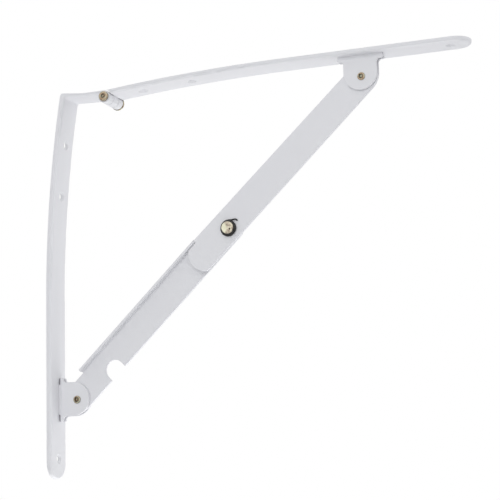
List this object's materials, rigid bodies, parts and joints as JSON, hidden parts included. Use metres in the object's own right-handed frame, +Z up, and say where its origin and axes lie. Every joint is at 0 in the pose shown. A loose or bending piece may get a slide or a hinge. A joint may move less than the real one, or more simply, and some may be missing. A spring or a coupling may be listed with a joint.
{
  "type": "folding shelf bracket",
  "caption": "Folding shelf bracket: wall leg and hinged shelf arm, both bowed strips with screw holes, held open by a two-link strut with a sprung middle joint.",
  "frame": {"origin": "on the wall plane, level with the underside of the shelf, midway across the bracket's width", "axes": "+X out from the wall along the shelf arm, +Y across the bracket's width, +Z up along the wall"},
  "size_m": [0.3525, 0.0298, 0.3162],
  "materials": {
    "white_coat": "semi-gloss powder coat",
    "passivated_steel": "yellow-passivated steel, dulled",
    "plated_stud": "pale yellow plating",
    "black_spring": "blackened spring steel"
  },
  "bodies": {
    "leg": {"wall_leg": "white_coat", "wall_ear_bracket": "white_coat", "wall_pivot_rivet": "passivated_steel", "hinge_pin": "passivated_steel"},
    "arm": {"shelf_arm": "white_coat", "arm_ear_bracket": "white_coat", "arm_pivot_rivet": "passivated_steel"},
    "lower_strut": {"lower_link": "white_coat", "middle_bush": "plated_stud", "middle_stud_back": "plated_stud"},
    "upper_strut": {"upper_link": "white_coat", "middle_stud_front": "plated_stud", "middle_spring": "black_spring"}
  },
  "joints": [
    {"name": "fold", "type": "hinge", "parent": "leg", "child": "arm", "pos_m": [0.0527, 0, -0.01225], "axis": [0, 1, 0], "range_deg": [0, 90]},
    {"name": "lower_link_turn", "type": "hinge", "parent": "leg", "child": "lower_strut", "pos_m": [0.02045, 0, -0.25419], "axis": [0, 1, 0], "range_deg": [-40.63, 0]},
    {"name": "upper_link_turn", "type": "hinge", "parent": "arm", "child": "upper_strut", "pos_m": [0.26732, 0, -0.02045], "axis": [0, 1, 0], "range_deg": [0, 42.64]}
  ],
  "couplings": [
    {"joint": "lower_link_turn", "follows": "fold", "ratio": -0.4503},
    {"joint": "upper_link_turn", "follows": "fold", "ratio": 0.4727}
  ]
}
